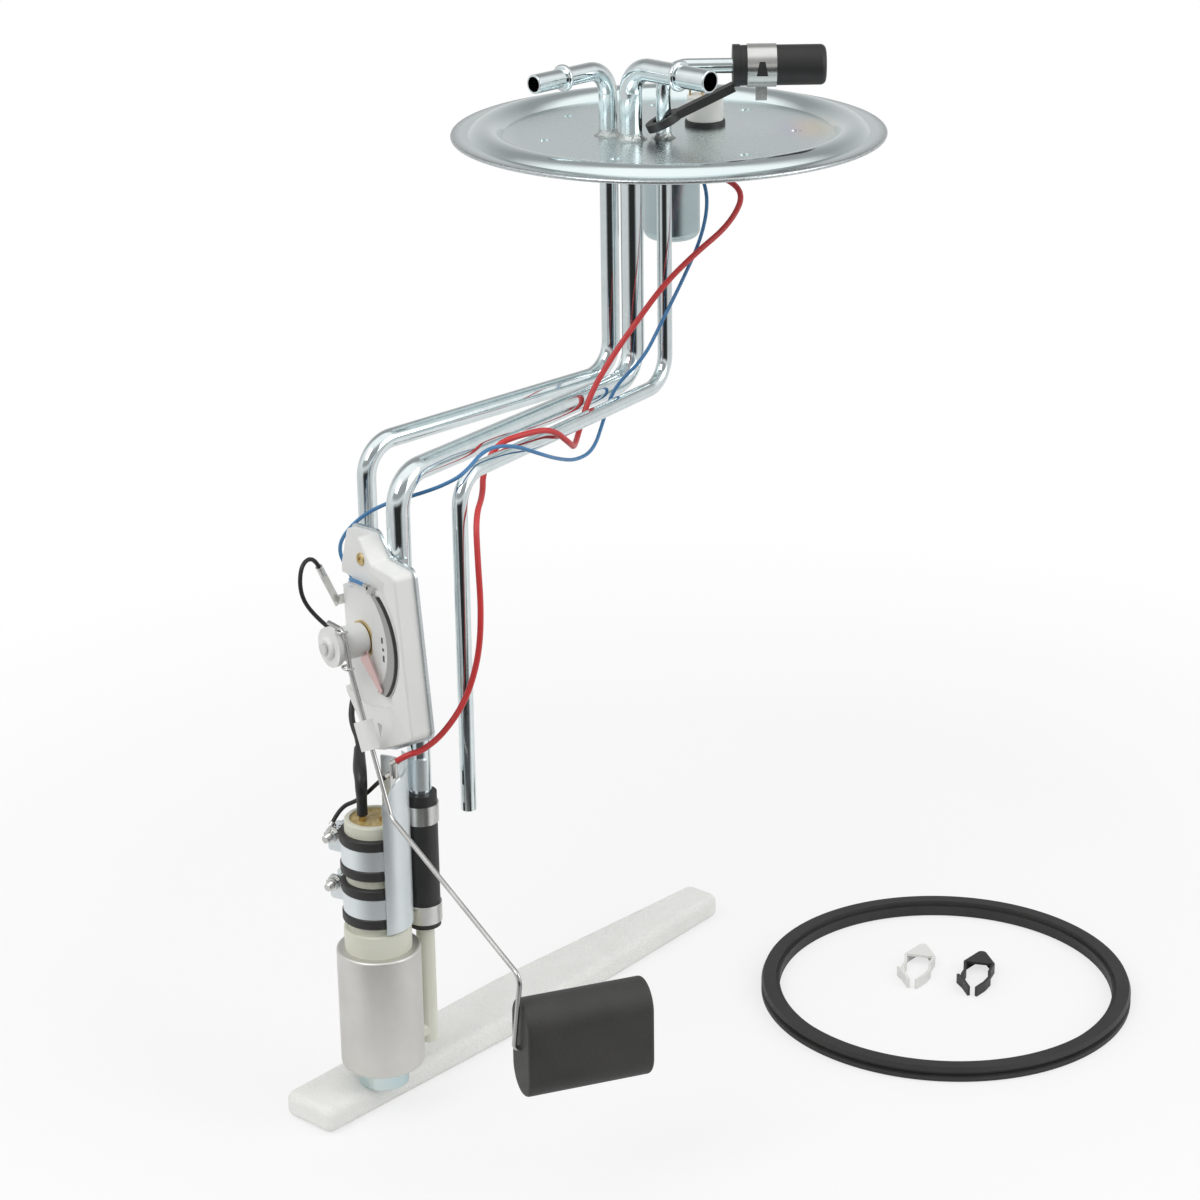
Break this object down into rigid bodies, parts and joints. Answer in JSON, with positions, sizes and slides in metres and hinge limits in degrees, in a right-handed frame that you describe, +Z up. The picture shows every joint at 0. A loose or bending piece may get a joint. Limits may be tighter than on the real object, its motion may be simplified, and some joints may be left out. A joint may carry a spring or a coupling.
{
  "type": "fuel pump module",
  "caption": "Hanging fuel pump module: round cover with bent tubes, level sender with float arm, electric pump, outlet hose and felt strainer.",
  "frame": {"origin": "centre of the circle of the cover's underside, in the plane where its lip rests", "axes": "+Z up out of the tank, -Y towards the viewer in the picture, +X to the right"},
  "size_m": [0.3665, 0.3426, 0.4155],
  "materials": {
    "zinc_cover": "bright zinc plate",
    "bright_tube": "bright plated tube",
    "braze": "dull braze",
    "black_rubber": "matte",
    "band_steel": "rolled band",
    "cream_plastic": "moulded, matte",
    "white_plastic": "moulded, satin",
    "brass_part": "stamped",
    "sender_steel": "bright zinc plate",
    "winding": "fine wire winding",
    "contact": "thin spring blade",
    "wire_steel": "drawn wire",
    "float_nitrile": "closed-cell, matte",
    "bracket_steel": "bright pressed steel",
    "shell_steel": "matte plated shell",
    "cup_zinc": "blue-tinted zinc plate",
    "pump_core": "moulded resin",
    "magnet": "sintered",
    "lamination": "stacked sheet",
    "copper": "bare copper",
    "felt": "pressed felt",
    "red_insulation": "satin insulation",
    "blue_insulation": "satin insulation",
    "black_insulation": "satin insulation",
    "clip_black": "moulded nylon",
    "clip_white": "moulded nylon"
  },
  "bodies": {
    "module": {"flange_plate": "zinc_cover", "tube_brazes": "braze", "return_tube": "bright_tube", "supply_tube": "bright_tube", "vent_tube": "bright_tube", "vent_cap": "black_rubber", "cap_clamp": "band_steel", "cap_tether": "black_rubber", "connector_body": "cream_plastic", "connector_gasket": "black_rubber", "connector_blades": "brass_part", "vent_valve_cup": "zinc_cover", "vent_valve_cage": "white_plastic", "vent_nipple": "bright_tube", "sender_plate": "sender_steel", "sender_housing": "white_plastic", "sender_rivets": "brass_part", "resistor_card": "white_plastic", "resistor_winding": "winding", "resistor_terminal": "band_steel", "hub_washer": "brass_part", "pivot_pin": "wire_steel", "jumper_terminal": "band_steel", "pump_bracket": "bracket_steel", "pump_isolators": "black_rubber", "pump_straps": "bracket_steel", "strap_screws": "band_steel", "pump_cap": "cream_plastic", "pump_terminals": "brass_part", "pump_body": "cream_plastic", "pump_shell": "shell_steel", "inlet_cup": "cup_zinc", "pump_volute": "pump_core", "motor_magnets": "magnet", "motor_brushes": "pump_core", "outlet_pipe": "cream_plastic", "outlet_hose": "black_rubber", "hose_clamps": "band_steel", "strainer_sock": "felt", "red_wire": "red_insulation", "blue_wire": "blue_insulation", "pump_lead": "black_insulation", "ground_lead": "black_insulation", "lead_sleeve": "black_insulation", "wire_crimps": "band_steel"},
    "arm": {"pivot_hub": "white_plastic", "wiper": "contact", "float_arm": "wire_steel", "arm_clip": "white_plastic", "jumper_wire": "black_insulation"},
    "float": {"float": "float_nitrile"},
    "rotor": {"motor_shaft": "wire_steel", "armature": "lamination", "commutator": "copper", "impeller": "pump_core"},
    "check_ball": {"check_ball": "wire_steel"},
    "vent_ball": {"vent_valve_ball": "wire_steel"},
    "seal": {"seal_ring": "black_rubber"},
    "black_clip": {"clip_black": "clip_black"},
    "white_clip": {"clip_white": "clip_white"}
  },
  "joints": [
    {"name": "arm_swing", "type": "hinge", "parent": "module", "child": "arm", "pos_m": [-0.12722, -0.13729, -0.1736], "axis": [-0.809, -0.5878, 0], "range_deg": [0, 75], "deforming": ["jumper_wire"]},
    {"name": "float_swivel", "type": "hinge", "parent": "arm", "child": "float", "pos_m": [-0.0675, -0.24161, -0.3041], "axis": [0.9397, 0.342, 0], "range_deg": [-25, 25]},
    {"name": "rotor_spin", "type": "hinge", "parent": "module", "child": "rotor", "pos_m": [-0.1248, -0.158, -0.32], "axis": [0, 0, 1], "continuous": true},
    {"name": "check_lift", "type": "slide", "parent": "module", "child": "check_ball", "axis": [0, 0, 1], "range_m": [0, 0.0025]},
    {"name": "vent_ball_lift", "type": "slide", "parent": "module", "child": "vent_ball", "axis": [0, 0, 1], "range_m": [0, 0.004]},
    {"name": "seal_lift", "type": "slide", "parent": "module", "child": "seal", "axis": [0, 0, 1], "range_m": [0, 0.05]},
    {"name": "black_clip_lift", "type": "slide", "parent": "module", "child": "black_clip", "axis": [0, 0, 1], "range_m": [0, 0.05]},
    {"name": "white_clip_lift", "type": "slide", "parent": "module", "child": "white_clip", "axis": [0, 0, 1], "range_m": [0, 0.05]}
  ]
}
